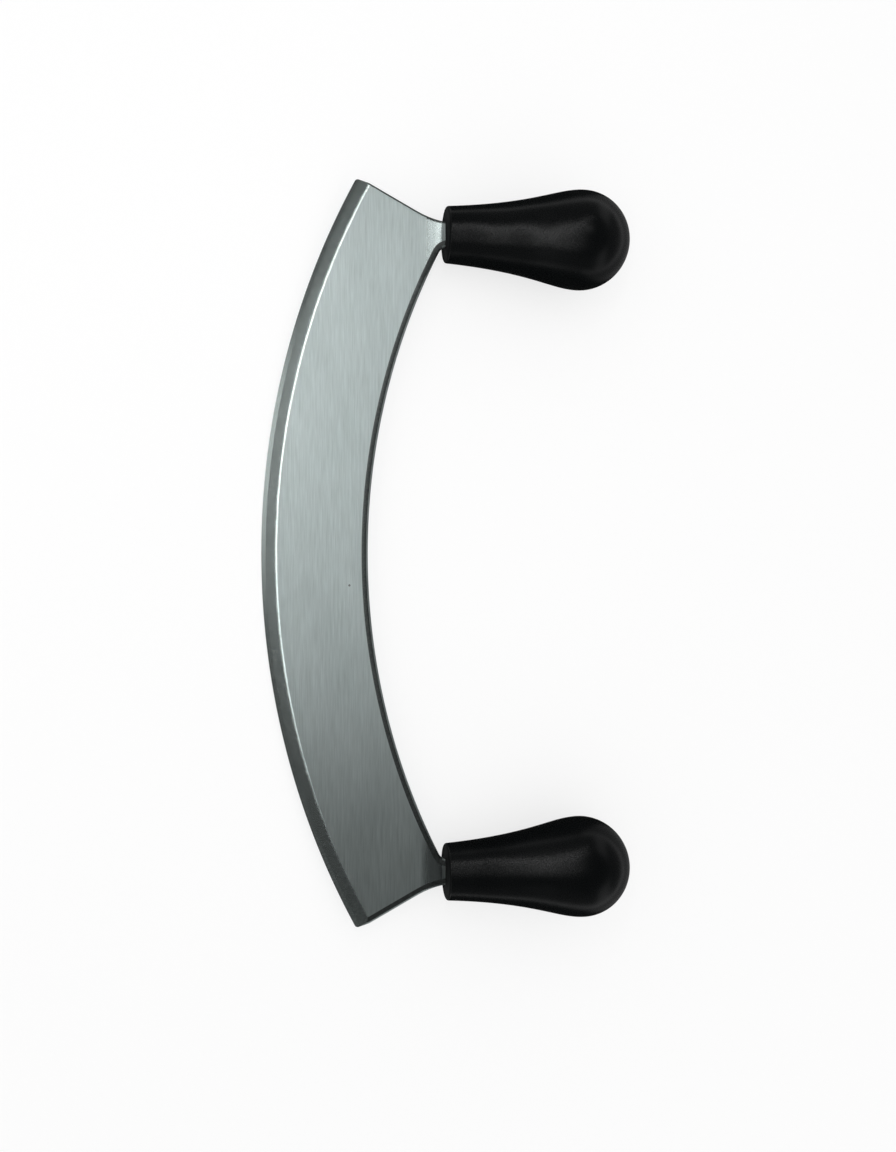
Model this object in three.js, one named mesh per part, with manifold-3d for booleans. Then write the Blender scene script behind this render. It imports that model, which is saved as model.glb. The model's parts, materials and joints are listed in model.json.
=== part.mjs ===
// A rocking pizza cutter: one crescent blade, ground from both sides, with a moulded handle at each end.
// It lies as it does on a table, on the middle of its cutting edge and on the bulbs of both handles.
// Millimetres: +X runs along the blade, +Y from the cutting edge to the handles, +Z up from the table.
import * as THREE from "three";
import { mergeVertices } from "three/addons/utils/BufferGeometryUtils.js";
import Module from "manifold-3d";

// Blade sheet
const BLADE_LENGTH = 301; // straight across, between the corners before they are rounded
const BLADE_THICKNESS = 2;
const BAND_WIDTH = 42.4; // from the cutting edge to the spine, at the middle
const EDGE_RADIUS = 319.5;
const SPINE_RADIUS = 272;
const CORNER_EASE = THREE.MathUtils.degToRad(11); // by which the cut ends turn across the bevel
const CORNER_ROUNDING = 2;
const RIM_CHAMFER = 0.5; // deburred rim of the spine, the ends and the tangs

// Cutting edge, the same from both sides
const BEVEL_WIDTH = 6.2;
const HONED_WIDTH = 1.2;
const HONED_THICKNESS = 0.7;
const EDGE_THICKNESS = 0.2;

// Tangs
const END_OVERHANG = 21; // from the axis of a handle out to the corner of the cutting edge
const TANG_WIDTH = 9.6;
const TANG_LENGTH = 48;
const OUTER_FILLET = 36;
const INNER_FILLET = 5;
const FILLET_DEPTH = 1.7; // by which the inner fillet runs on into the handle
const LOCKING_HOLE = 4.6;
const FIRST_HOLE = 14; // from the end face of the handle
const HOLE_PITCH = 20;
const HOLE_COUNT = 2;

// Handles
const HANDLE_LENGTH = 77;
const NECK_DIAMETER = 22.8;
const BULB_DIAMETER = 40.6;
const FACE_ROUNDING = 1.6;
const NECK_DRAFT = THREE.MathUtils.degToRad(4);
const NECK_PULL_SHARE = 0.65; // share of the taper over which the neck stays nearly straight
const BULB_PULL_SHARE = 0.2; // share of the taper over which the bulb levels out
const TANG_CLEARANCE = 0.3; // between the tang and the moulding round it

const OVERRUN = 1; // by which a cutting solid passes what it cuts

// Facets
const ARC_STEPS = 12;
const EDGE_STEPS = 400; // in a full turn of the edge radius
const HANDLE_SIDES = 60;
const TAPER_STEPS = 15;
const DOME_STEPS = 12;

const wasm = await Module();
wasm.setup();

const steel = new THREE.MeshStandardMaterial({ color: 0xa8ada3, roughness: 0.35, metalness: 1 });
const plastic = new THREE.MeshStandardMaterial({ color: 0x101214, roughness: 0.38, metalness: 0 });

// The outline lies in the sheet's own plane: x along the blade, y = 0 at the handles' end faces.
// The spine's arc takes in the inner fillets, and the ends are cut square to the cutting edge.
const halfLength = BLADE_LENGTH / 2;
const tangAxis = halfLength - END_OVERHANG;
const innerFillet = new THREE.Vector2(tangAxis - TANG_WIDTH / 2 - INNER_FILLET, FILLET_DEPTH);
const spineRise = Math.sqrt((SPINE_RADIUS - INNER_FILLET) ** 2 - innerFillet.x ** 2);
const spineCentre = new THREE.Vector2(0, innerFillet.y + spineRise);
const bladeReach = BAND_WIDTH + SPINE_RADIUS - spineCentre.y;
const edgeCentre = new THREE.Vector2(0, EDGE_RADIUS - bladeReach);
const endLean = Math.asin(halfLength / EDGE_RADIUS);
const cornerLean = endLean - CORNER_EASE;

function solidFrom(geometry) {
  const bare = geometry.clone();
  bare.deleteAttribute("normal");
  bare.deleteAttribute("uv");
  const merged = mergeVertices(bare);
  return new wasm.Manifold(
    new wasm.Mesh({
      numProp: 3,
      vertProperties: merged.getAttribute("position").array,
      triVerts: new Uint32Array(merged.index.array),
    }),
  );
}

function geometryFrom(solid) {
  const mesh = solid.getMesh();
  const geometry = new THREE.BufferGeometry();
  geometry.setAttribute("position", new THREE.BufferAttribute(mesh.vertProperties, 3));
  geometry.setIndex(new THREE.BufferAttribute(mesh.triVerts, 1));
  const faceted = geometry.toNonIndexed();
  faceted.computeVertexNormals();
  return faceted;
}

// How far a point goes along a direction before it is as near to the edge's centre as the given radius.
function distanceTo(radius, point, direction) {
  const fromCentre = point.clone().sub(edgeCentre);
  const outwards = fromCentre.dot(direction);
  return -outwards - Math.sqrt(outwards ** 2 - fromCentre.lengthSq() + radius ** 2);
}

// The cut end across the bevel: where it turns at the bevel's shoulder, and the round at the cutting edge.
function endAcrossBevel() {
  const corner = new THREE.Vector2(halfLength, edgeCentre.y - EDGE_RADIUS * Math.cos(endLean));
  const along = new THREE.Vector2(-Math.sin(cornerLean), Math.cos(cornerLean));
  const outwards = new THREE.Vector2(along.y, -along.x);
  const inset = corner.clone().addScaledVector(outwards, -CORNER_ROUNDING);
  const toShoulder = distanceTo(EDGE_RADIUS - BEVEL_WIDTH, corner, along);
  const toRound = distanceTo(EDGE_RADIUS - CORNER_ROUNDING, inset, along);
  return {
    shoulder: corner.addScaledVector(along, toShoulder),
    round: inset.addScaledVector(along, toRound),
  };
}

// The round between the cut end and the outer side of the tang.
function outerFillet() {
  const outwards = new THREE.Vector2(Math.cos(endLean), Math.sin(endLean));
  const reach = endAcrossBevel().shoulder.dot(outwards) + OUTER_FILLET;
  const x = tangAxis + TANG_WIDTH / 2 + OUTER_FILLET;
  return new THREE.Vector2(x, (reach - x * outwards.x) / outwards.y);
}

// Half of the sheet's outline, from the middle of the edge round the tang to the middle of the spine.
// A positive growth sets every side outwards by that much.
function halfOutline(growth) {
  const { shoulder, round } = endAcrossBevel();
  const outer = outerFillet();
  const edgeTurn = Math.atan2(round.y - edgeCentre.y, round.x);
  const spineTurn = Math.atan2(innerFillet.y - spineCentre.y, innerFillet.x);
  const half = new THREE.Path();
  half.absarc(0, edgeCentre.y, EDGE_RADIUS + growth, -Math.PI / 2, edgeTurn, false);
  half.absarc(round.x, round.y, CORNER_ROUNDING + growth, edgeTurn, cornerLean, false);
  half.lineTo(shoulder.x, shoulder.y);
  half.absarc(outer.x, outer.y, OUTER_FILLET - growth, Math.PI + endLean, Math.PI, true);
  half.absarc(tangAxis, TANG_LENGTH - TANG_WIDTH / 2, TANG_WIDTH / 2 + growth, 0, Math.PI, false);
  half.absarc(innerFillet.x, innerFillet.y, INNER_FILLET - growth, 0, spineTurn, true);
  half.absarc(0, spineCentre.y, SPINE_RADIUS - growth, spineTurn, -Math.PI / 2, true);
  return half.getPoints(ARC_STEPS);
}

function sheetShape(growth) {
  const right = halfOutline(growth);
  const left = right.slice(1, -1).map((p) => new THREE.Vector2(-p.x, p.y));
  const shape = new THREE.Shape([...right, ...left.reverse()]);
  for (const side of [-1, 1]) {
    for (let i = 0; i < HOLE_COUNT; i++) {
      const hole = new THREE.Path();
      const y = FIRST_HOLE + i * HOLE_PITCH;
      hole.absarc(side * tangAxis, y, LOCKING_HOLE / 2 - growth, 0, 2 * Math.PI, true);
      shape.holes.push(hole);
    }
  }
  return shape;
}

// The stamped sheet with its tangs and holes, its rims deburred on both faces.
function stampedSheet() {
  const geometry = new THREE.ExtrudeGeometry(sheetShape(0), {
    depth: BLADE_THICKNESS - 2 * RIM_CHAMFER,
    bevelThickness: RIM_CHAMFER,
    bevelSize: RIM_CHAMFER,
    bevelOffset: -RIM_CHAMFER,
    bevelSegments: 1,
    curveSegments: ARC_STEPS,
  });
  geometry.translate(0, 0, RIM_CHAMFER - BLADE_THICKNESS / 2);
  return solidFrom(geometry);
}

// What the grinding wheels leave: a disc round the edge's centre, thinned in two steps past its rim.
function groundDisc() {
  const halfSheet = BLADE_THICKNESS / 2;
  const halfHoned = HONED_THICKNESS / 2;
  const halfEdge = EDGE_THICKNESS / 2;
  const groundRun = (BEVEL_WIDTH - HONED_WIDTH) / (halfSheet - halfHoned);
  const honedRun = HONED_WIDTH / (halfHoned - halfEdge);
  const upper = [
    new THREE.Vector2(EDGE_RADIUS - HONED_WIDTH, halfHoned),
    new THREE.Vector2(EDGE_RADIUS - BEVEL_WIDTH - OVERRUN * groundRun, halfSheet + OVERRUN),
    new THREE.Vector2(0, halfSheet + OVERRUN),
  ];
  const lower = upper.map((p) => new THREE.Vector2(p.x, -p.y)).reverse();
  const rim = new THREE.Vector2(EDGE_RADIUS + halfEdge * honedRun, 0);
  const disc = new THREE.LatheGeometry([...lower, rim, ...upper], EDGE_STEPS);
  disc.rotateX(Math.PI / 2);
  disc.translate(0, edgeCentre.y, 0);
  return solidFrom(disc);
}

function makeBlade() {
  const blade = new THREE.Mesh(geometryFrom(stampedSheet().intersect(groundDisc())), steel);
  blade.name = "blade";
  return blade;
}

// Profile of a handle from the middle of its end face to the tip of its bulb: radius against length.
function handleProfile() {
  const bulbRadius = BULB_DIAMETER / 2;
  const neckRadius = NECK_DIAMETER / 2;
  const bulbCentre = HANDLE_LENGTH - bulbRadius;
  const taperLength = bulbCentre - FACE_ROUNDING;
  const neckPull = taperLength * NECK_PULL_SHARE;
  const face = new THREE.Path();
  face.absarc(neckRadius - FACE_ROUNDING, FACE_ROUNDING, FACE_ROUNDING, -Math.PI / 2, 0, false);
  const taper = new THREE.CubicBezierCurve(
    new THREE.Vector2(neckRadius, FACE_ROUNDING),
    new THREE.Vector2(neckRadius + neckPull * Math.tan(NECK_DRAFT), FACE_ROUNDING + neckPull),
    new THREE.Vector2(bulbRadius, bulbCentre - taperLength * BULB_PULL_SHARE),
    new THREE.Vector2(bulbRadius, bulbCentre),
  );
  const dome = new THREE.EllipseCurve(0, bulbCentre, bulbRadius, bulbRadius, 0, Math.PI / 2);
  return [
    new THREE.Vector2(0, 0),
    ...face.getPoints(2),
    ...taper.getPoints(TAPER_STEPS).slice(1),
    ...dome.getPoints(DOME_STEPS).slice(1, -1),
    new THREE.Vector2(0, HANDLE_LENGTH),
  ];
}

// The moulding has run round the tang and through its holes, so the pocket keeps a peg at each hole.
function tangPocket() {
  const depth = BLADE_THICKNESS + 2 * TANG_CLEARANCE;
  const shape = sheetShape(TANG_CLEARANCE);
  const pocket = new THREE.ExtrudeGeometry(shape, {
    depth,
    bevelEnabled: false,
    curveSegments: ARC_STEPS,
  });
  pocket.translate(0, 0, -depth / 2);
  return pocket;
}

function makeHandle(name, side) {
  const moulding = solidFrom(new THREE.LatheGeometry(handleProfile(), HANDLE_SIDES));
  const pocket = solidFrom(tangPocket().translate(-side * tangAxis, 0, 0));
  const handle = new THREE.Mesh(geometryFrom(moulding.subtract(pocket)), plastic);
  handle.name = name;
  handle.position.x = side * tangAxis;
  return handle;
}

// Slope of the blade when both bulbs and its edge, or the shoulder of a bevel, touch the table.
function lieAngle() {
  const underside = [
    new THREE.Vector2(EDGE_THICKNESS / 2, bladeReach),
    new THREE.Vector2(HONED_THICKNESS / 2, bladeReach - HONED_WIDTH),
    new THREE.Vector2(BLADE_THICKNESS / 2, bladeReach - BEVEL_WIDTH),
  ];
  const profile = handleProfile();
  const slopeFrom = (low) => Math.max(...profile.map((p) => Math.atan2(p.x - low.x, p.y + low.y)));
  return Math.min(...underside.map(slopeFrom));
}

const cutter = new THREE.Group();
cutter.add(makeBlade(), makeHandle("handle_left", -1), makeHandle("handle_right", 1));
cutter.rotation.x = lieAngle();

const box = new THREE.Box3().setFromObject(cutter, true);
const middle = box.getCenter(new THREE.Vector3());
cutter.position.set(-middle.x, -middle.y, -box.min.z);

const pizzaCutter = new THREE.Group();
pizzaCutter.add(cutter);

export default pizzaCutter;
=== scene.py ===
"""Looks for the rocking pizza cutter: a brushed crescent blade between two moulded black handles.

The blade and the handles are built in the blade's own plane: x along the blade, y from the handles'
end faces to their tips, z out of the blade's upper side. A matrix then lays them on the table as
the frame has them.
"""
import json
import math

import bpy
import numpy as np
from mathutils import Matrix, Vector, geometry


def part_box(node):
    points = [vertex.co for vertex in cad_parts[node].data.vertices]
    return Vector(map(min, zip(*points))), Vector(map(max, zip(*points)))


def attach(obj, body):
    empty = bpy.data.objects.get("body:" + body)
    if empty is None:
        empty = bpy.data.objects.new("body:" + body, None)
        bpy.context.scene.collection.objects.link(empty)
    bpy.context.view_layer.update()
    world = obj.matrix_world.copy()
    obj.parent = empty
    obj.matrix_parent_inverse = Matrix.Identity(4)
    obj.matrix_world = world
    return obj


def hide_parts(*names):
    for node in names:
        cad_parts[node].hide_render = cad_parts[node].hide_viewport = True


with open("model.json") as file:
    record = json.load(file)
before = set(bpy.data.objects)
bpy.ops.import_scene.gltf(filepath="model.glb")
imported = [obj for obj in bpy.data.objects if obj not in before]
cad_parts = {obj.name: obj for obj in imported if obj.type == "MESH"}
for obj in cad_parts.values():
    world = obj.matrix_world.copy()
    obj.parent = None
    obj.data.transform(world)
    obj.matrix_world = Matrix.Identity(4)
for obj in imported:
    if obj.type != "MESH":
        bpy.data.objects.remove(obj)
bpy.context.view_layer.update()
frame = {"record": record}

MM = 0.001

# Blade sheet
BLADE_LENGTH = 301 * MM  # straight across, between the corners before they are rounded
BLADE_THICKNESS = 2 * MM
BAND_WIDTH = 42.4 * MM
EDGE_RADIUS = 319.5 * MM
SPINE_RADIUS = 272 * MM
CORNER_EASE = math.radians(11)
CORNER_ROUNDING = 1.3 * MM
RIM_WIDTH = 2.6 * MM  # tumbled round of the sheet's rim, seen from above
BRUSHED_RIM_WIDTH = 0.65 * MM  # of the rim's outer part, brushed like the sides, outside the painted shade
LEFT_RIM_WIDTH = 1.1 * MM  # of the rim along the left end and the outer side of its tang
LEFT_DARK_WIDTH = 0.65 * MM  # of its outer part, in the sheared tone deepened with painted shade
LEFT_RIM_TURN = 0.5  # least part to the right of the directions that lead away from that rim
RIM_DROP = 0.6 * MM
RELIEF_DEPTH = 0.42 * MM  # ground off each side of the tangs, where they go into their handles
RELIEF_START = -11 * MM  # from the handle's end face
RELIEF_END = -1.4 * MM

# Cutting edge
BEVEL_WIDTH = 5.5 * MM
HONED_WIDTH = 1.7 * MM
HONED_THICKNESS = 0.9 * MM
EDGE_THICKNESS = 0.2 * MM
SHOULDER_ROUNDING = 0.65 * MM  # to each side of the bevel's shoulder
FLECK = (-39.1 * MM, 12.9 * MM, 0)  # across and along the blade, on its upper side
FLECK_SIZE = 1.2 * MM

# Tangs
END_OVERHANG = 21 * MM
TANG_WIDTH = 9.6 * MM
TANG_LENGTH = 48 * MM
OUTER_FILLET = 36 * MM
INNER_FILLET = 5 * MM
FILLET_DEPTH = 1.7 * MM
LOCKING_HOLE = 4.6 * MM
FIRST_HOLE = 14 * MM
HOLE_PITCH = 20 * MM
HOLE_COUNT = 2

# Handles
HANDLE_LENGTH = 77 * MM
NECK_DIAMETER = 22.8 * MM
BULB_DIAMETER = 40.6 * MM
FACE_ROUNDING = 1 * MM
NECK_DRAFT = math.radians(4)
NECK_PULL_SHARE = 0.65
BULB_PULL_SHARE = 0.2
MOULDING_GAP = 0.05 * MM  # between the tang and the plastic that shrank on to it

# Fineness of the meshes
ARC_STEP = 1 * MM
TURN_STEP = math.radians(5)
RIM_STEPS = 6
SHOULDER_STEPS = 4
RELIEF_STEPS = 6
TAPER_STEPS = 60
HANDLE_SIDES = 144
LAMP_STEPS = 40
SHARPEST_SMOOTH = math.radians(35)  # turn between faces that still look like one surface
NORMAL_INSET = 0.02  # of the way from a triangle's corner to its middle
TINY = 1e-9

# Finishes of the blade, in the order of its materials
BRUSHED, GROUND, SHEARED_SHADED = range(3)

# Brushed steel, on the grain map; noise scales are in waves per metre across and along the blade
FINE_SCRATCHES = (2600, 110, 1)
COARSE_SCRATCHES = (1250, 50, 1)
COARSE_DETAIL = 3.0
COARSE_SHARE = 0.5  # of the scratches
BRUSHED_CLOUDS = (60, 22, 1)
CLOUD_SHARE = 0.2  # of the tone; scratches make up the rest
BRUSHED_TONES = (0.44, 0.51, 0.5), (0.66, 0.735, 0.725)
# Dark tone of the fleck, a real mark, and of the painted shade on the strips next to the handles
SOILED_AND_SHADED_TONE = (0.2, 0.22, 0.21)
BRUSHED_ROUGHNESS = 0.38, 0.46
BRUSHED_ANISOTROPY = 0.6
BRUSHED_BUMP = 0.5, 0.01 * MM  # strength and height
RELIEF_COARSENESS = 0.4  # as a share of the sides'
STRIP_SHADE = 0.6  # painted shade on the strip between each relief and its handle, as the share of brightness it takes off
STRIP_EDGE = 1.1, 0.9  # of the relief's end, between which the strip starts

# Ground steel, on the same map
GRINDING_MARKS = (500, 2500, 1)
GROUND_CLOUDS = (200, 60, 1)
GROUND_CLOUD_SHARE = 0.4
GROUND_TONES = (0.48, 0.55, 0.535), (0.60, 0.67, 0.65)
GROUND_ROUGHNESS = 0.2, 0.26
GROUND_BUMP = 0.1, 0.002 * MM

# Sheared and tumbled steel of the rim, its dark tone partly its own and partly painted shade
TUMBLED_PITS = (1500, 1500, 1500)
PIT_DETAIL = 3.0
TUMBLED_AND_SHADED_TONES = (0.09, 0.1, 0.097), (0.15, 0.165, 0.16)
TUMBLED_ROUGHNESS = 0.34, 0.46
TUMBLED_BUMP = 0.3, 0.02 * MM

# Black plastic
EROSION = (2600, 2600, 2600)
PLASTIC_CLOUDS = (70, 70, 70)
SHRINKAGE_WAVES = (25, 60, 60)
PLASTIC_TONES = (0.0018, 0.0024, 0.0026), (0.0026, 0.0032, 0.0034)
EROSION_BUMP = 0.3, 0.02 * MM
SHRINKAGE_BUMP = 1.0, 0.8 * MM
SATIN_SPECULAR, SATIN_ROUGHNESS = 0.2, (0.24, 0.3)
MATT_SPECULAR, MATT_ROUGHNESS = 0.1, (0.75, 0.85)
END_FACE_TURN = -0.4  # along the handle, of the normals that count as the matt end face's

NOISE_RANGE = 0.3, 0.7  # where nearly all of a noise's values lie
SOILED_AND_SHADED_NOISE = 0.1

# Photograph
PHOTO_SIZE = (896, 1152)
PHOTO_FOCAL = 1255  # focal length in the photograph's pixels
PHOTO_POINT = (447.2, 553.2)  # where the camera's target shows
CAMERA_DISTANCE = 510.5 * MM
CAMERA_LEAN = math.radians(9.5)  # from square to the blade towards its cutting edge
CAMERA_TARGET = 0.8 * MM  # from the handles' end faces towards their tips
SENSOR_WIDTH = 36

# Studio; a TURN gives the parts of a direction, or the places, between which levels change
PLAIN_LEVEL = 0.95  # of the light from all round that falls on diffuse surfaces
WHITE_LEVEL = 1.0  # of the background and of the horizon in reflections
WALL_LEVEL = 0.12
WALL_TURN = 0.02, 0.12  # upwards from the horizon
CEILING_LEVEL = 0.05
CEILING_TURN = 0.5, 0.7
SIDE_LEVEL = 0.65  # of the walls in front of the cutting edge and behind the handles
SIDE_TURN = 0.2, 0.5  # from the ends of the blade to the side walls
SIDE_TOP_TURN = 0.6, 0.75
TIP_SHARE = 0.2  # of the side wall's level, straight behind the handles' tips
TIP_TURN = 0.6, 0.8
FLOOR_REACH = 20
FLOOR_COLOUR = (0.97, 0.97, 0.97, 1)
FLOOR_WHITENESS = 0.7  # share of plain white in the floor as the camera and mirrors see it
CARD_REACH = 500 * MM
CARD_FRONT = -5 * MM
CARD_HEIGHT = 0.2 * MM
CARD_LEVELS = 0.015, 0.22
CARD_TURN = 82 * MM, 100 * MM  # from under the handles to beyond their tips

# Lamps: their ends along the blade, their front and back lines across it, their light, and stops
# from the left end to the right one, each with its share of the length and of the light.
# A reach lies outwards of where the camera sees the bevel's shoulder mirrored at the lamps' height.
LAMP_HEIGHT = 370 * MM  # above the blade
SHOULDER_ENDS = -480 * MM, 240 * MM
SOFTBOX_BACK = 55 * MM
SOFTBOX_LIGHT = 0.56
SOFTBOX_STOPS = [
    (0, 0), (0.05, 0.45), (0.167, 0.42), (0.267, 0.52), (0.375, 0.68), (0.467, 0.84),
    (0.567, 0.88), (0.667, 0.84), (0.767, 0.82), (0.85, 0.18), (0.933, 0), (1, 0),
]
TUBE_REACHES = 22 * MM, 6 * MM
TUBE_LIGHT = 15
TUBE_STOPS = [
    (0, 0), (0.05, 0.48), (0.167, 0.47), (0.267, 0.6), (0.375, 0.77), (0.467, 0.93),
    (0.567, 0.88), (0.667, 0.68), (0.767, 0.56), (0.85, 0.3), (0.933, 0.04), (1, 0),
]
BEVEL_ENDS = -330 * MM, 300 * MM
BEVEL_REACHES = 110 * MM, 60 * MM
BEVEL_LIGHT = 0.5
BEVEL_STOPS = [
    (0, 0), (0.13, 0.2), (0.24, 0.8), (0.34, 0.36), (0.46, 0.4), (0.58, 0.35), (0.69, 0.17),
    (0.8, 0), (1, 0),
]
HONED_ENDS = -230 * MM, 60 * MM
HONED_REACHES = 225 * MM, 168 * MM
HONED_LIGHT = 1.9
HONED_STOPS = [(0, 0), (0.12, 0.3), (0.28, 1), (0.6, 0.9), (0.9, 0.3), (1, 0)]
ROOT_ENDS = -290 * MM, -160 * MM
ROOT_LINES = 56 * MM, 84 * MM
ROOT_LIGHT = 2.5
ROOT_FILL_LINES = 86 * MM, 130 * MM
ROOT_FILL_LIGHT = 0.8
ROOT_STOPS = [(0, 0), (0.3, 1), (0.7, 1), (1, 0)]

half_length = BLADE_LENGTH / 2
tang_axis = half_length - END_OVERHANG
inner_fillet = np.array([tang_axis - TANG_WIDTH / 2 - INNER_FILLET, FILLET_DEPTH])
spine_rise = math.sqrt((SPINE_RADIUS - INNER_FILLET) ** 2 - inner_fillet[0] ** 2)
spine_centre = np.array([0, inner_fillet[1] + spine_rise])
blade_reach = BAND_WIDTH + SPINE_RADIUS - spine_centre[1]
edge_centre = np.array([0, EDGE_RADIUS - blade_reach])
end_lean = math.asin(half_length / EDGE_RADIUS)
corner_lean = end_lean - CORNER_EASE


def lying_matrix():
    """From the blade's own plane to the frame, by the mount on its upper side and a bulb's top."""
    upper_side = next(m for m in frame["record"]["mounts"] if m["name"] == "blade_upper_side")
    up = Vector(upper_side["axis"]).normalized()
    outwards = Vector((0, up.z, -up.y))
    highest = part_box("handle_right")[1]
    bulb_radius = BULB_DIAMETER / 2
    bulb_centre = Vector((0, highest.y - bulb_radius, highest.z - bulb_radius))
    origin = bulb_centre - (HANDLE_LENGTH - bulb_radius) * outwards
    lying = Matrix((Vector((1, 0, 0)), outwards, up)).transposed().to_4x4()
    lying.translation = origin
    return lying


def turned_to(angle):
    return np.array([math.cos(angle), math.sin(angle)])


def arc_points(centre, radius, start, end):
    """Points along an arc, both ends included, close enough together to look round."""
    steps = max(2, math.ceil(abs(end - start) * radius / ARC_STEP))
    steps = max(steps, math.ceil(abs(end - start) / TURN_STEP))
    angles = np.linspace(start, end, steps + 1)
    return np.asarray(centre) + radius * np.column_stack([np.cos(angles), np.sin(angles)])


def distance_to(radius, point, direction):
    """How far a point goes in a direction until the radius is its distance to the edge's centre."""
    from_centre = point - edge_centre
    outwards = from_centre @ direction
    return -outwards - math.sqrt(outwards**2 - from_centre @ from_centre + radius**2)


def end_across_bevel():
    """Where the cut end turns at the shoulder, and the centre of the round at the cutting edge."""
    corner = np.array([half_length, edge_centre[1] - EDGE_RADIUS * math.cos(end_lean)])
    along = turned_to(corner_lean + math.pi / 2)
    inset = corner - CORNER_ROUNDING * turned_to(corner_lean)
    shoulder = corner + along * distance_to(EDGE_RADIUS - BEVEL_WIDTH, corner, along)
    rounding = inset + along * distance_to(EDGE_RADIUS - CORNER_ROUNDING, inset, along)
    return shoulder, rounding


def outer_fillet():
    """Centre of the round between the cut end and the outer side of the tang."""
    outwards = turned_to(end_lean)
    reach = end_across_bevel()[0] @ outwards + OUTER_FILLET
    x = tang_axis + TANG_WIDTH / 2 + OUTER_FILLET
    return np.array([x, (reach - x * outwards[0]) / outwards[1]])


def rim_arcs(growth=0.0):
    """Arcs of half the rim, from the cutting edge round the tang to the spine's middle.

    Each has its centre, radius, start and end. Straight lines join them. Growth sets them outwards.
    """
    shoulder, rounding = end_across_bevel()
    half_ease = CORNER_EASE / 2
    shoulder = shoulder + growth / math.cos(half_ease) * turned_to(end_lean - half_ease)
    edge_turn = math.atan2(rounding[1] - edge_centre[1], rounding[0])
    spine_turn = math.atan2(inner_fillet[1] - spine_centre[1], inner_fillet[0])
    tip = (tang_axis, TANG_LENGTH - TANG_WIDTH / 2)
    return [
        (rounding, CORNER_ROUNDING + growth, edge_turn, corner_lean),
        (shoulder, 0, 0, 0),
        (outer_fillet(), OUTER_FILLET - growth, math.pi + end_lean, math.pi),
        (tip, TANG_WIDTH / 2 + growth, 0, math.pi),
        (inner_fillet, INNER_FILLET - growth, 0, spine_turn),
        (spine_centre, SPINE_RADIUS - growth, spine_turn, -math.pi / 2),
    ]


def half_rim(growth=0.0):
    return np.concatenate([arc_points(*arc) for arc in rim_arcs(growth)])


def mirrored(points):
    return points * (-1, 1)


def whole_rim(growth=0.0):
    right = half_rim(growth)
    return np.concatenate([right, mirrored(right)[-2::-1]])


def hole_centres():
    return [np.array([tang_axis, FIRST_HOLE + i * HOLE_PITCH]) for i in range(HOLE_COUNT)]


def nearer(found, distance, away):
    """Keeps the smaller distance and its direction, point by point."""
    closer = distance < found[0]
    return np.where(closer, distance, found[0]), np.where(closer[:, None], away, found[1])


def from_rim(points):
    """Distance of points of the sheet from its rim and holes, and the direction away from them."""
    side = np.where(points[:, :1] < 0, -1, 1) * (1, 0) + (0, 1)
    p = points * side
    found = np.full(len(p), np.inf), np.zeros_like(p)
    last_end = None
    for centre, radius, start, end in rim_arcs():
        ends = [np.asarray(centre) + radius * turned_to(angle) for angle in (start, end)]
        if last_end is not None:
            line = ends[0] - last_end
            share = np.clip((p - last_end) @ line / (line @ line), 0, 1)
            away = p - last_end - share[:, None] * line
            distance = np.linalg.norm(away, axis=1)
            found = nearer(found, distance, away / np.maximum(distance, TINY)[:, None])
        last_end = ends[1]
        if radius:
            offset = p - centre
            reach = np.linalg.norm(offset, axis=1)
            turn = (np.arctan2(offset[:, 1], offset[:, 0]) - min(start, end)) % (2 * math.pi)
            on_arc = turn <= abs(end - start) + TINY
            distance = np.where(on_arc, abs(reach - radius), np.inf)
            away = offset / reach[:, None] * np.sign(reach - radius)[:, None]
            found = nearer(found, distance, away)
    for centre in hole_centres():
        offset = p - centre
        reach = np.linalg.norm(offset, axis=1)
        found = nearer(found, abs(reach - LOCKING_HOLE / 2), offset / reach[:, None])
    return found[0], found[1] * side


def relieved_height(across):
    """Half the sheet's thickness as the relief ground across a tang leaves it, and its slope."""
    fall = RELIEF_END - RELIEF_START
    share = np.clip((across - RELIEF_START) / fall, 0, 1)
    depth = RELIEF_DEPTH * share**2 * (3 - 2 * share)
    slope = -RELIEF_DEPTH / fall * 6 * share * (1 - share)
    return BLADE_THICKNESS / 2 - depth, slope


def ground_height(inset):
    """Half the thickness that grinding leaves at an inset from the cutting edge, and its slope."""
    half_sheet = BLADE_THICKNESS / 2
    half_honed = HONED_THICKNESS / 2
    honed_slope = (half_honed - EDGE_THICKNESS / 2) / HONED_WIDTH
    bevel_slope = (half_sheet - half_honed) / (BEVEL_WIDTH - HONED_WIDTH)
    height = half_honed + bevel_slope * (inset - HONED_WIDTH)
    slope = np.full_like(inset, bevel_slope)
    honed = inset < HONED_WIDTH
    height[honed] = EDGE_THICKNESS / 2 + honed_slope * inset[honed]
    slope[honed] = honed_slope
    to_flat = np.maximum(BEVEL_WIDTH + SHOULDER_ROUNDING - inset, 0)
    rounded = to_flat < 2 * SHOULDER_ROUNDING
    height[rounded] = half_sheet - bevel_slope * to_flat[rounded] ** 2 / (4 * SHOULDER_ROUNDING)
    slope[rounded] = bevel_slope * to_flat[rounded] / (2 * SHOULDER_ROUNDING)
    return height, slope


def rim_drop(inset, width):
    """How far the tumbled rim falls off at a distance from the outline, and its slope."""
    share = np.clip(1 - inset / width, 0, 1 - TINY)
    level = np.sqrt(1 - share**2)
    return RIM_DROP * (1 - level), RIM_DROP / width * share / level


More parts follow.
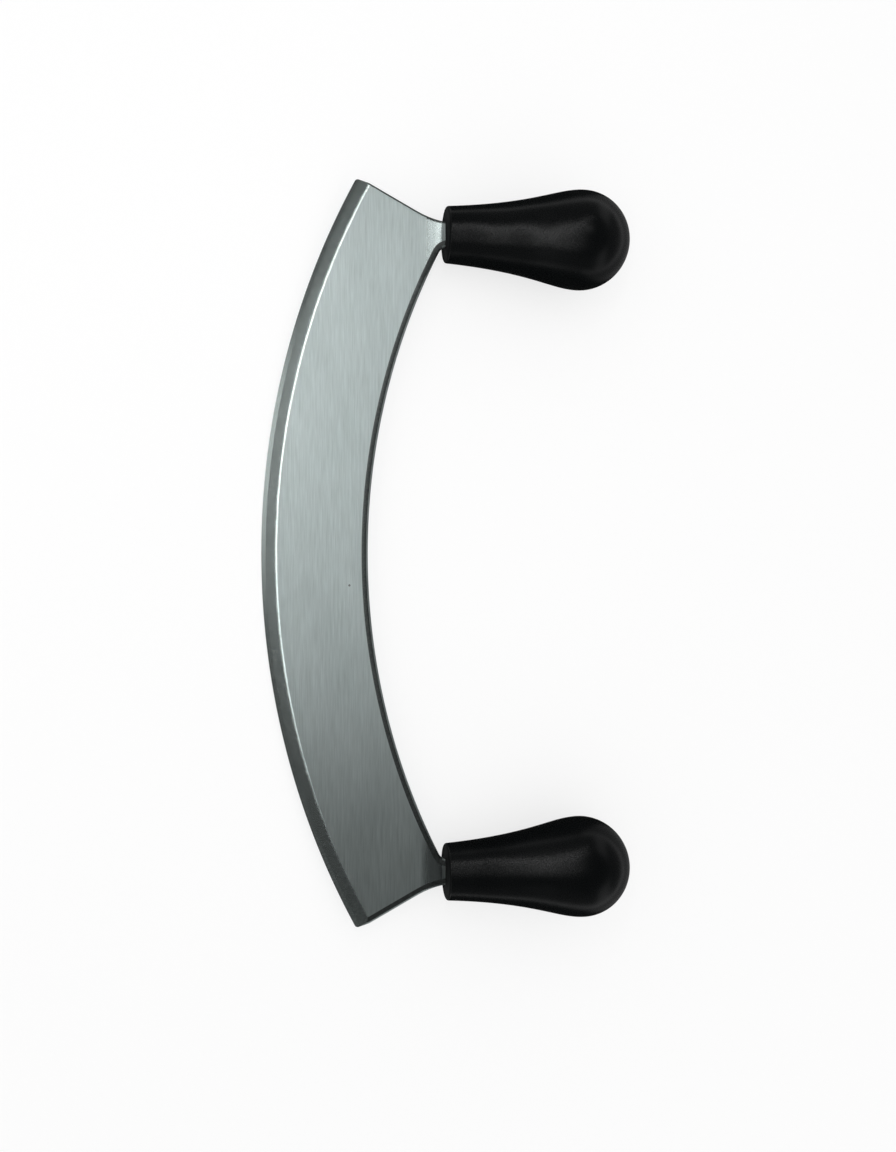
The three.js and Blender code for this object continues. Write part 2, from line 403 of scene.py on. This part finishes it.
def sheet_surface(points):
    """Half the sheet's thickness over points of its plane, its upper side's normals and its finish.

    Brushed are the sides, the rim's outer part and, along the left end, its inner part.
    """
    from_centre = points - edge_centre
    reach = np.linalg.norm(from_centre, axis=1)
    inset = EDGE_RADIUS - reach
    ground, ground_slope = ground_height(inset)
    level, level_slope = relieved_height(points[:, 1])
    thinness = level / (BLADE_THICKNESS / 2)
    distance, away = from_rim(points)
    at_left = (away[:, 0] > LEFT_RIM_TURN) & (points[:, 0] < 0)
    drop, drop_slope = rim_drop(distance, np.where(at_left, LEFT_RIM_WIDTH, RIM_WIDTH))
    drop, drop_slope = drop * thinness, drop_slope * thinness
    upper = level_slope[:, None] * (0, 1) + drop_slope[:, None] * away
    by_edge = inset < BEVEL_WIDTH + SHOULDER_ROUNDING
    on_ground = by_edge & (ground < level - drop)
    height = np.where(on_ground, ground, level - drop)
    outwards = from_centre / reach[:, None]
    slope = np.where(on_ground[:, None], -ground_slope[:, None] * outwards, upper)
    normals = np.column_stack([-slope, np.ones(len(points))])
    # The rest of the rim takes the sheared tone, which is partly painted shade.
    on_shaded_rim = (drop > 0) & np.where(at_left, distance < LEFT_DARK_WIDTH, distance > BRUSHED_RIM_WIDTH)
    finish = np.where(on_ground, GROUND, np.where(on_shaded_rim, SHEARED_SHADED, BRUSHED))
    return height, normals / np.linalg.norm(normals, axis=1)[:, None], finish


def flat_triangles(loops, lines):
    """Triangles that fill the first loop apart from the round holes, the other loops.

    The lines become edges between triangles. Lengths are in millimetres inside, for the tolerance.
    """
    points, edges = [], []
    for line, closed in [(loop, True) for loop in loops] + [(line, False) for line in lines]:
        first = len(points)
        points += [Vector(p) / MM for p in line]
        edges += [(i, i + 1) for i in range(first, len(points) - 1)]
        if closed:
            edges.append((len(points) - 1, first))
    inside_constraints, tolerance = 1, 1e-5
    found, _, faces, *_ = geometry.delaunay_2d_cdt(points, edges, [], inside_constraints, tolerance)
    found = np.array(found) * MM
    faces = np.array(faces)
    middles = found[faces].mean(axis=1)
    kept = np.ones(len(faces), bool)
    for hole in loops[1:]:
        radius = np.linalg.norm(hole[0] - hole.mean(axis=0))
        kept &= np.linalg.norm(middles - hole.mean(axis=0), axis=1) > radius
    used, renumbered = np.unique(faces[kept], return_inverse=True)
    return found[used], renumbered.reshape(-1, 3)


def boundary(faces):
    """Directed edges that only one triangle has."""
    edges = np.concatenate([faces[:, [0, 1]], faces[:, [1, 2]], faces[:, [2, 0]]])
    directed = set(map(tuple, edges.tolist()))
    return np.array([edge for edge in sorted(directed) if edge[::-1] not in directed])


def sheet_loops(growth=0.0):
    """The sheet's outline and its holes, set outwards by the growth."""
    right = half_rim(growth)
    edge_turn = math.atan2(*(right[0] - edge_centre)[::-1])
    edge = arc_points(edge_centre, EDGE_RADIUS + growth, -math.pi - edge_turn, edge_turn)
    outline = np.concatenate([edge[1:-1], whole_rim(growth)])
    loops = [outline]
    for centre in hole_centres():
        hole = arc_points(centre, LOCKING_HOLE / 2 - growth, 0, 2 * math.pi)[:-1]
        loops += [hole, mirrored(hole)]
    return loops


def mesh_object(name, points, faces, *materials):
    mesh = bpy.data.meshes.new(name)
    mesh.from_pydata(points.tolist(), [], [list(f) for f in faces])
    mesh.polygons.foreach_set("use_smooth", [True] * len(mesh.polygons))
    for material in materials:
        mesh.materials.append(material)
    piece = bpy.data.objects.new(name, mesh)
    bpy.context.scene.collection.objects.link(piece)
    return piece


def closed_sheet(flat, faces, height):
    """Points and faces of a body with the flat triangles as its sides, and walls between them."""
    count = len(flat)
    points = np.concatenate([np.column_stack([flat, height]), np.column_stack([flat, -height])])
    rim = boundary(faces)
    walls = np.column_stack([rim[:, 1], rim[:, 0], rim[:, 0] + count, rim[:, 1] + count])
    return points, faces, faces[:, ::-1] + count, walls


def surface_lines():
    """Lines that the mesh follows: along the rim, honed land and shoulder, and across the tangs."""
    quarters = np.linspace(0, math.pi / 2, RIM_STEPS + 1)[1:]
    lines = [whole_rim(-RIM_WIDTH * (1 - math.cos(quarter))) for quarter in quarters]
    shoulder = np.linspace(-SHOULDER_ROUNDING, SHOULDER_ROUNDING, SHOULDER_STEPS + 1)
    turn = end_lean + ARC_STEP / EDGE_RADIUS
    for inset in [HONED_WIDTH, *(BEVEL_WIDTH + shoulder)]:
        radius = EDGE_RADIUS - inset
        lines.append(arc_points(edge_centre, radius, -math.pi / 2 - turn, -math.pi / 2 + turn))
    for across in np.linspace(RELIEF_START, RELIEF_END, RELIEF_STEPS + 1):
        line = np.array([(tang_axis - TANG_WIDTH, across), (half_length, across)])
        lines += [line, mirrored(line)]
    return lines


def wall_normals(flat, walls):
    start, end = flat[walls[:, 0]], flat[walls[:, 1]]
    along = (end - start) / np.linalg.norm(end - start, axis=1)[:, None]
    normals = np.column_stack([-along[:, 1], along[:, 0], np.zeros(len(walls))])
    return np.repeat(normals[:, None], walls.shape[1], axis=1)


def make_blade(materials, lying):
    flat, faces = flat_triangles(sheet_loops(), surface_lines())
    middles = flat[faces].mean(axis=1)
    height = sheet_surface(flat)[0]
    points, upper, lower, walls = closed_sheet(flat, faces, height)
    blade = mesh_object("crescent_blade", points, [*upper, *lower, *walls], *materials)

    finish = sheet_surface(middles)[2]
    finishes = np.concatenate([finish, finish, np.full(len(walls), SHEARED_SHADED)])
    blade.data.polygons.foreach_set("material_index", finishes)

    # Normals come from the surface itself, just inside each triangle, so that shoulders stay crisp.
    corners = flat[faces] + NORMAL_INSET * (middles[:, None] - flat[faces])
    upper_normals = sheet_surface(corners.reshape(-1, 2))[1].reshape(-1, 3, 3)
    lower_normals = upper_normals[:, ::-1] * (1, 1, -1)
    parts = upper_normals, lower_normals, wall_normals(flat, walls)
    normals = np.concatenate([part.reshape(-1, 3) for part in parts])
    blade.data.normals_split_custom_set(normals.tolist())

    # The map holds places on the sheet, in metres, with the direction across the grain first.
    grain = blade.data.uv_layers.new(name="grain")
    corner_points = np.zeros(len(blade.data.loops), np.int32)
    blade.data.loops.foreach_get("vertex_index", corner_points)
    grain.data.foreach_set("uv", points[corner_points][:, [1, 0]].ravel())
    blade.data.transform(lying)
    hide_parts("blade")
    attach(blade, "root")


def bezier(points, steps):
    share = np.linspace(0, 1, steps + 1)[:, None]
    rest = 1 - share
    weights = rest**3, 3 * share * rest**2, 3 * share**2 * rest, share**3
    return sum(weight * np.asarray(point) for weight, point in zip(weights, points))


def handle_profile():
    """Radius against length, from the rim of the end face to just before the tip of the bulb."""
    bulb_radius = BULB_DIAMETER / 2
    neck_radius = NECK_DIAMETER / 2
    bulb_centre = HANDLE_LENGTH - bulb_radius
    taper_length = bulb_centre - FACE_ROUNDING
    neck_pull = taper_length * NECK_PULL_SHARE
    face = arc_points((neck_radius - FACE_ROUNDING, FACE_ROUNDING), FACE_ROUNDING, -math.pi / 2, 0)
    taper = bezier(
        [
            (neck_radius, FACE_ROUNDING),
            (neck_radius + neck_pull * math.tan(NECK_DRAFT), FACE_ROUNDING + neck_pull),
            (bulb_radius, bulb_centre - taper_length * BULB_PULL_SHARE),
            (bulb_radius, bulb_centre),
        ],
        TAPER_STEPS,
    )
    dome = arc_points((0, bulb_centre), bulb_radius, 0, math.pi / 2)
    return np.concatenate([face, taper[1:], dome[1:-1]])


def turned(profile, tip):
    """Points and faces of a body turned round y, with one flat face at its start and a tip."""
    angles = np.linspace(0, 2 * math.pi, HANDLE_SIDES, endpoint=False)
    level = np.ones(HANDLE_SIDES)
    sine, cosine = np.sin(angles), np.cos(angles)
    rings = [np.column_stack([r * sine, y * level, r * cosine]) for r, y in profile]
    points = np.concatenate([*rings, [(0, tip, 0)]])
    sides = np.arange(HANDLE_SIDES)
    following = (sides + 1) % HANDLE_SIDES
    faces = [sides.tolist()]
    for ring in range(len(profile) - 1):
        low = ring * HANDLE_SIDES
        high = low + HANDLE_SIDES
        around = [low + following, low + sides, high + sides, high + following]
        faces += np.column_stack(around).tolist()
    last = (len(profile) - 1) * HANDLE_SIDES
    ends = np.full(HANDLE_SIDES, len(points) - 1)
    faces += np.column_stack([last + following, last + sides, ends]).tolist()
    return points, faces


def pocket_slab(materials):
    """The tangs with the moulding's gap round them, as the tool that cuts the handles' pockets."""
    flat, triangles = flat_triangles(sheet_loops(MOULDING_GAP), [])
    height = np.full(len(flat), BLADE_THICKNESS / 2 - RELIEF_DEPTH + MOULDING_GAP)
    points, *faces = closed_sheet(flat, triangles, height)
    return mesh_object("pocket", points, [face for part in faces for face in part], *materials)


def make_handle(name, node, side, materials, lying):
    """One handle, whose second material is on its end face and on what lies behind it."""
    points, faces = turned(handle_profile(), HANDLE_LENGTH)
    handle = mesh_object(name, points + (side * tang_axis, 0, 0), faces, *materials)
    slab = pocket_slab(materials)
    cut = handle.modifiers.new("tang pocket", "BOOLEAN")
    cut.operation = "DIFFERENCE"
    cut.object = slab
    cut.solver = "EXACT"
    evaluated = handle.evaluated_get(bpy.context.evaluated_depsgraph_get())
    handle.data = bpy.data.meshes.new_from_object(evaluated)
    handle.modifiers.clear()
    bpy.data.objects.remove(slab)
    handle.data.polygons.foreach_set("use_smooth", [True] * len(handle.data.polygons))
    handle.data.set_sharp_from_angle(angle=SHARPEST_SMOOTH)
    for polygon in handle.data.polygons:
        polygon.material_index = int(polygon.normal.y < END_FACE_TURN)
    handle.data.transform(lying)
    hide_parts(node)
    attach(handle, "root")


def add(tree, kind, sockets=None, **settings):
    """A node with its settings, whose sockets take values or other nodes' outputs."""
    made = tree.nodes.new(kind)
    for key, value in settings.items():
        setattr(made, key, value)
    for key, value in (sockets or {}).items():
        if isinstance(value, bpy.types.NodeSocket):
            tree.links.new(value, made.inputs[key])
        else:
            made.inputs[key].default_value = value
    return made


def calculate(tree, operation, *values):
    return add(tree, "ShaderNodeMath", dict(enumerate(values)), operation=operation).outputs[0]


def ramp(tree, value, low, high, to_low=0.0, to_high=1.0):
    """A smooth step from one value to another."""
    sockets = {"Value": value, "From Min": low, "From Max": high}
    sockets |= {"To Min": to_low, "To Max": to_high}
    made = add(tree, "ShaderNodeMapRange", sockets, interpolation_type="SMOOTHSTEP")
    return made.outputs["Result"]


def empty_material(name):
    material = bpy.data.materials.new(name)
    material.use_nodes = True
    material.node_tree.nodes.clear()
    return material, material.node_tree


def new_material(name):
    material, tree = empty_material(name)
    shader = add(tree, "ShaderNodeBsdfPrincipled")
    add(tree, "ShaderNodeOutputMaterial", {"Surface": shader.outputs[0]})
    return material, tree, shader


def stretched_noise(tree, place, scale, detail=2.0):
    """Noise over places on the object, with a scale for each direction."""
    mapped = add(tree, "ShaderNodeMapping", {"Vector": place, "Scale": scale}).outputs[0]
    sockets = {"Vector": mapped, "Scale": 1.0, "Detail": detail}
    return add(tree, "ShaderNodeTexNoise", sockets).outputs[0]


def blended(tree, first, second, share):
    """A mixture of two outputs, with the given share of the second."""
    rest = calculate(tree, "MULTIPLY", first, 1 - share)
    return calculate(tree, "MULTIPLY_ADD", second, share, rest)


def tinted(tree, shader, noise, dark, light, soiled_and_shaded=None):
    """Colours a surface between two tones, and with a third one where the noise is nearly none."""
    colour = add(tree, "ShaderNodeValToRGB", {"Fac": noise})
    elements = colour.color_ramp.elements
    elements[0].position, elements[1].position = NOISE_RANGE
    elements[0].color, elements[1].color = (*dark, 1), (*light, 1)
    if soiled_and_shaded:
        elements.new(SOILED_AND_SHADED_NOISE).color = (*soiled_and_shaded, 1)
    tree.links.new(colour.outputs[0], shader.inputs["Base Color"])


def roughened(tree, shader, noise, smoothest, roughest):
    tree.links.new(ramp(tree, noise, *NOISE_RANGE, smoothest, roughest), shader.inputs["Roughness"])


def bumps(tree, noise, strength, height, **normal):
    sockets = {"Strength": strength, "Distance": height, "Height": noise, **normal}
    return add(tree, "ShaderNodeBump", sockets).outputs[0]


def brushed_steel():
    """The sides of the blade: long fine scratches along it, over a faint cloudiness."""
    material, tree, shader = new_material("brushed_steel")
    place = add(tree, "ShaderNodeUVMap", uv_map="grain").outputs[0]
    fine = stretched_noise(tree, place, FINE_SCRATCHES)
    coarse = stretched_noise(tree, place, COARSE_SCRATCHES, COARSE_DETAIL)
    cloudy = stretched_noise(tree, place, BRUSHED_CLOUDS)
    grain = blended(tree, fine, coarse, COARSE_SHARE)
    fleck = add(tree, "ShaderNodeVectorMath", {0: place, 1: FLECK}, operation="DISTANCE")
    off_fleck = ramp(tree, fleck.outputs["Value"], FLECK_SIZE / 4, FLECK_SIZE / 2)
    across = add(tree, "ShaderNodeSeparateXYZ", {0: place}).outputs["X"]
    # Painted shade darkens the strip next to each handle's end face; the fleck is a real mark.
    on_strip = ramp(tree, across, *(RELIEF_END * share for share in STRIP_EDGE))
    unsoiled_and_unshaded = calculate(tree, "MULTIPLY_ADD", on_strip, -STRIP_SHADE, off_fleck)
    noise = calculate(tree, "MULTIPLY", blended(tree, grain, cloudy, CLOUD_SHARE), unsoiled_and_unshaded)
    tinted(tree, shader, noise, *BRUSHED_TONES, SOILED_AND_SHADED_TONE)
    shader.inputs["Metallic"].default_value = 1.0
    shader.inputs["Anisotropic"].default_value = BRUSHED_ANISOTROPY

    # The reliefs are ground finer than the sides, apart from the strips next to the handles.
    relief = ramp(tree, across, RELIEF_START, RELIEF_START / 2, 1.0, RELIEF_COARSENESS)
    coarseness = calculate(tree, "MULTIPLY_ADD", on_strip, 1 - RELIEF_COARSENESS, relief)
    roughness = ramp(tree, grain, *NOISE_RANGE, *BRUSHED_ROUGHNESS)
    tree.links.new(calculate(tree, "MULTIPLY", roughness, coarseness), shader.inputs["Roughness"])
    tangent = add(tree, "ShaderNodeTangent", direction_type="UV_MAP", uv_map="grain")
    tree.links.new(tangent.outputs[0], shader.inputs["Tangent"])
    tree.links.new(bumps(tree, grain, *BRUSHED_BUMP), shader.inputs["Normal"])
    return material


def ground_steel():
    """The bevels, with the fine marks of the grinding wheel."""
    material, tree, shader = new_material("ground_steel")
    place = add(tree, "ShaderNodeUVMap", uv_map="grain").outputs[0]
    marks = stretched_noise(tree, place, GRINDING_MARKS)
    cloudy = stretched_noise(tree, place, GROUND_CLOUDS)
    tinted(tree, shader, blended(tree, marks, cloudy, GROUND_CLOUD_SHARE), *GROUND_TONES)
    shader.inputs["Metallic"].default_value = 1.0
    roughened(tree, shader, marks, *GROUND_ROUGHNESS)
    tree.links.new(bumps(tree, marks, *GROUND_BUMP), shader.inputs["Normal"])
    return material


def sheared_shaded_steel():
    """The rim, tumbled after shearing but not brushed, its dark tone partly its own and partly
    painted shade.
    """
    material, tree, shader = new_material("sheared_shaded_steel")
    place = add(tree, "ShaderNodeTexCoord").outputs["Object"]
    pits = stretched_noise(tree, place, TUMBLED_PITS, PIT_DETAIL)
    tinted(tree, shader, pits, *TUMBLED_AND_SHADED_TONES)
    shader.inputs["Metallic"].default_value = 1.0
    roughened(tree, shader, pits, *TUMBLED_ROUGHNESS)
    tree.links.new(bumps(tree, pits, *TUMBLED_BUMP), shader.inputs["Normal"])
    return material


def black_plastic(name, specular, roughness):
    """Moulded plastic with a fine eroded grain and the slight waves of a thick part that shrank."""
    material, tree, shader = new_material(name)
    shader.distribution = "GGX"
    place = add(tree, "ShaderNodeTexCoord").outputs["Object"]
    eroded = stretched_noise(tree, place, EROSION)
    cloudy = stretched_noise(tree, place, PLASTIC_CLOUDS)
    waves = stretched_noise(tree, place, SHRINKAGE_WAVES, detail=0.0)
    tinted(tree, shader, cloudy, *PLASTIC_TONES)
    shader.inputs["Specular IOR Level"].default_value = specular
    roughened(tree, shader, eroded, *roughness)
    wavy = bumps(tree, waves, *SHRINKAGE_BUMP)
    tree.links.new(bumps(tree, eroded, *EROSION_BUMP, Normal=wavy), shader.inputs["Normal"])
    return material


def seen_directly(tree):
    """1 for rays that show the background: from the camera, and by reflection or through glass."""
    rays = add(tree, "ShaderNodeLightPath").outputs
    seen = calculate(tree, "ADD", rays["Is Camera Ray"], rays["Is Glossy Ray"])
    seen = calculate(tree, "ADD", seen, rays["Is Transmission Ray"])
    return calculate(tree, "MINIMUM", seen, 1.0)


def plane(name, reach, front, back, height, material):
    corners = [(-reach, front), (reach, front), (reach, back), (-reach, back)]
    points = np.array([(*corner, height) for corner in corners])
    return mesh_object(name, points, [(0, 1, 2, 3)], material)


def make_floor():
    """A floor that keeps the object's shadow on a white background."""
    material, tree = empty_material("pale_floor")
    diffuse = add(tree, "ShaderNodeBsdfDiffuse", {"Color": FLOOR_COLOUR}).outputs[0]
    white = add(tree, "ShaderNodeEmission", {"Strength": WHITE_LEVEL}).outputs[0]
    share = calculate(tree, "MULTIPLY", seen_directly(tree), FLOOR_WHITENESS)
    mixed = add(tree, "ShaderNodeMixShader", {0: share, 1: diffuse, 2: white}).outputs[0]
    add(tree, "ShaderNodeOutputMaterial", {"Surface": mixed})
    plane("floor", FLOOR_REACH, -FLOOR_REACH, FLOOR_REACH, 0, material)


def make_card():
    """A card seen only in reflections.

    Under the handles it is nearly black, which keeps the plastic and the spine's rim dark. Beyond
    their tips it is grey, for the thin light line round each bulb.
    """
    material, tree = empty_material("dark_card")
    place = add(tree, "ShaderNodeNewGeometry").outputs["Position"]
    across = add(tree, "ShaderNodeSeparateXYZ", {0: place}).outputs["Y"]
    level = ramp(tree, across, *CARD_TURN, *CARD_LEVELS)
    shader = add(tree, "ShaderNodeEmission", {"Strength": level})
    add(tree, "ShaderNodeOutputMaterial", {"Surface": shader.outputs[0]})
    card = plane("dark_card", CARD_REACH, CARD_FRONT, CARD_REACH, CARD_HEIGHT, material)
    card.visible_camera = False
    card.visible_diffuse = False
    card.visible_transmission = False
    card.visible_shadow = False


def make_world():
    """White behind the object, a plain light on it, and walls and a dark ceiling to be mirrored."""
    world = bpy.data.worlds.new("studio")
    bpy.context.scene.world = world
    world.use_nodes = True
    tree = world.node_tree
    tree.nodes.clear()
    direction = add(tree, "ShaderNodeTexCoord").outputs["Generated"]
    towards = add(tree, "ShaderNodeSeparateXYZ", {0: direction}).outputs
    y, z = towards["Y"], towards["Z"]
    wall = ramp(tree, z, *WALL_TURN, WHITE_LEVEL, WALL_LEVEL)
    ceiling = ramp(tree, z, *CEILING_TURN, 0.0, CEILING_LEVEL - WALL_LEVEL)
    side = ramp(tree, calculate(tree, "ABSOLUTE", y), *SIDE_TURN)
    side = calculate(tree, "MULTIPLY", side, ramp(tree, y, *TIP_TURN, 1.0, TIP_SHARE))
    side = calculate(tree, "MULTIPLY", side, ramp(tree, z, *SIDE_TOP_TURN, SIDE_LEVEL, 0.0))
    mirrored_level = calculate(tree, "MAXIMUM", calculate(tree, "ADD", wall, ceiling), side)
    sockets = {"Factor": seen_directly(tree), "A": PLAIN_LEVEL, "B": WHITE_LEVEL}
    plain = add(tree, "ShaderNodeMix", sockets).outputs[0]
    glossy = add(tree, "ShaderNodeLightPath").outputs["Is Glossy Ray"]
    sockets = {"Factor": glossy, "A": plain, "B": mirrored_level}
    strength = add(tree, "ShaderNodeMix", sockets).outputs[0]
    sockets = {"Color": (1, 1, 1, 1), "Strength": strength}
    background = add(tree, "ShaderNodeBackground", sockets).outputs[0]
    add(tree, "ShaderNodeOutputWorld", {"Surface": background})


def glow(name, radiance, stops):
    """Light that changes from the left to the right of a lamp.

    The stops give shares of its length, and the light there as a share of the radiance.
    """
    material, tree = empty_material(name)
    place = add(tree, "ShaderNodeTexCoord").outputs["Generated"]
    along = add(tree, "ShaderNodeSeparateXYZ", {0: place}).outputs["X"]
    light = add(tree, "ShaderNodeValToRGB", {"Fac": along})
    light.color_ramp.interpolation = "EASE"
    elements = light.color_ramp.elements
    while len(elements) < len(stops):
        elements.new(0.5)  # placed below
    for element, (position, share) in zip(elements, stops):
        element.position = position
        element.color = (share, share, share, 1)
    shader = add(tree, "ShaderNodeEmission", {"Color": light.outputs[0], "Strength": radiance})
    add(tree, "ShaderNodeOutputMaterial", {"Surface": shader.outputs[0]})
    return material


def mirrored_shoulder(outwards, left, right):
    """Where the camera sees the bevel's shoulder mirrored at the lamps' height, set outwards."""
    camera_across = CAMERA_TARGET - CAMERA_DISTANCE * math.sin(CAMERA_LEAN)
    growth = 1 + LAMP_HEIGHT / (CAMERA_DISTANCE * math.cos(CAMERA_LEAN))
    across = camera_across + (edge_centre[1] - camera_across) * growth
    radius = (EDGE_RADIUS - BEVEL_WIDTH) * growth + outwards
    along = np.linspace(left, right, LAMP_STEPS + 1)
    return np.column_stack([along, across - np.sqrt(radius**2 - along**2)])


def straight(across, left, right):
    along = np.linspace(left, right, LAMP_STEPS + 1)
    return np.column_stack([along, np.full(len(along), across)])


def make_lamp(name, front, back, radiance, stops, lying):
    """A glowing panel over the blade, between two lines that run along it, unseen by the camera."""
    flat = np.concatenate([front, back])
    points = np.column_stack([flat, np.full(len(flat), LAMP_HEIGHT)])
    count = len(front)
    faces = [(i, i + count, i + count + 1, i + 1) for i in range(count - 1)]
    lamp = mesh_object(name, points, faces, glow(name, radiance, stops))
    lamp.data.transform(lying)
    lamp.visible_camera = False


def make_lamps(lying):
    """The glowing panels over the blade.

    One is for its sides, one for the bright line along the shoulder, two for the left tang's
    relief, and one each for the bevel and the honed land.
    """
    front = mirrored_shoulder(0, *SHOULDER_ENDS)
    back = straight(SOFTBOX_BACK, *SHOULDER_ENDS)
    make_lamp("softbox", front, back, SOFTBOX_LIGHT, SOFTBOX_STOPS, lying)
    lines = [mirrored_shoulder(reach, *SHOULDER_ENDS) for reach in TUBE_REACHES]
    make_lamp("shoulder_tube", *lines, TUBE_LIGHT, TUBE_STOPS, lying)
    lines = [straight(across, *ROOT_ENDS) for across in ROOT_LINES]
    make_lamp("root_light", *lines, ROOT_LIGHT, ROOT_STOPS, lying)
    lines = [straight(across, *ROOT_ENDS) for across in ROOT_FILL_LINES]
    make_lamp("root_fill", *lines, ROOT_FILL_LIGHT, ROOT_STOPS, lying)
    lines = [mirrored_shoulder(reach, *BEVEL_ENDS) for reach in BEVEL_REACHES]
    make_lamp("bevel_light", *lines, BEVEL_LIGHT, BEVEL_STOPS, lying)
    lines = [mirrored_shoulder(reach, *HONED_ENDS) for reach in HONED_REACHES]
    make_lamp("honing_light", *lines, HONED_LIGHT, HONED_STOPS, lying)


def make_camera(lying):
    """At the photograph's place: the blade runs down the picture, with its handles to the right."""
    target = Matrix.Translation(lying @ Vector((0, CAMERA_TARGET, 0)))
    tilt = lying.to_3x3().to_4x4()
    lean = Matrix.Rotation(CAMERA_LEAN, 4, "X")
    turn = Matrix.Rotation(math.radians(90), 4, "Z")
    back_off = Matrix.Translation((0, 0, CAMERA_DISTANCE))
    camera = bpy.data.cameras.new("camera")
    camera.sensor_width = SENSOR_WIDTH
    camera.lens = SENSOR_WIDTH * PHOTO_FOCAL / max(PHOTO_SIZE)
    camera.shift_x = (PHOTO_SIZE[0] / 2 - PHOTO_POINT[0]) / max(PHOTO_SIZE)
    camera.shift_y = (PHOTO_POINT[1] - PHOTO_SIZE[1] / 2) / max(PHOTO_SIZE)
    holder = bpy.data.objects.new("camera", camera)
    holder.matrix_world = target @ tilt @ lean @ turn @ back_off
    bpy.context.scene.collection.objects.link(holder)
    bpy.context.scene.camera = holder


lying = lying_matrix()
make_camera(lying)
make_blade([brushed_steel(), ground_steel(), sheared_shaded_steel()], lying)
plastics = [
    black_plastic("satin_plastic", SATIN_SPECULAR, SATIN_ROUGHNESS),
    black_plastic("matt_plastic", MATT_SPECULAR, MATT_ROUGHNESS),
]
make_handle("left_grip", "handle_left", -1, plastics, lying)
make_handle("right_grip", "handle_right", 1, plastics, lying)
make_floor()
make_card()
make_world()
make_lamps(lying)
bpy.context.scene.view_settings.view_transform = "Standard"
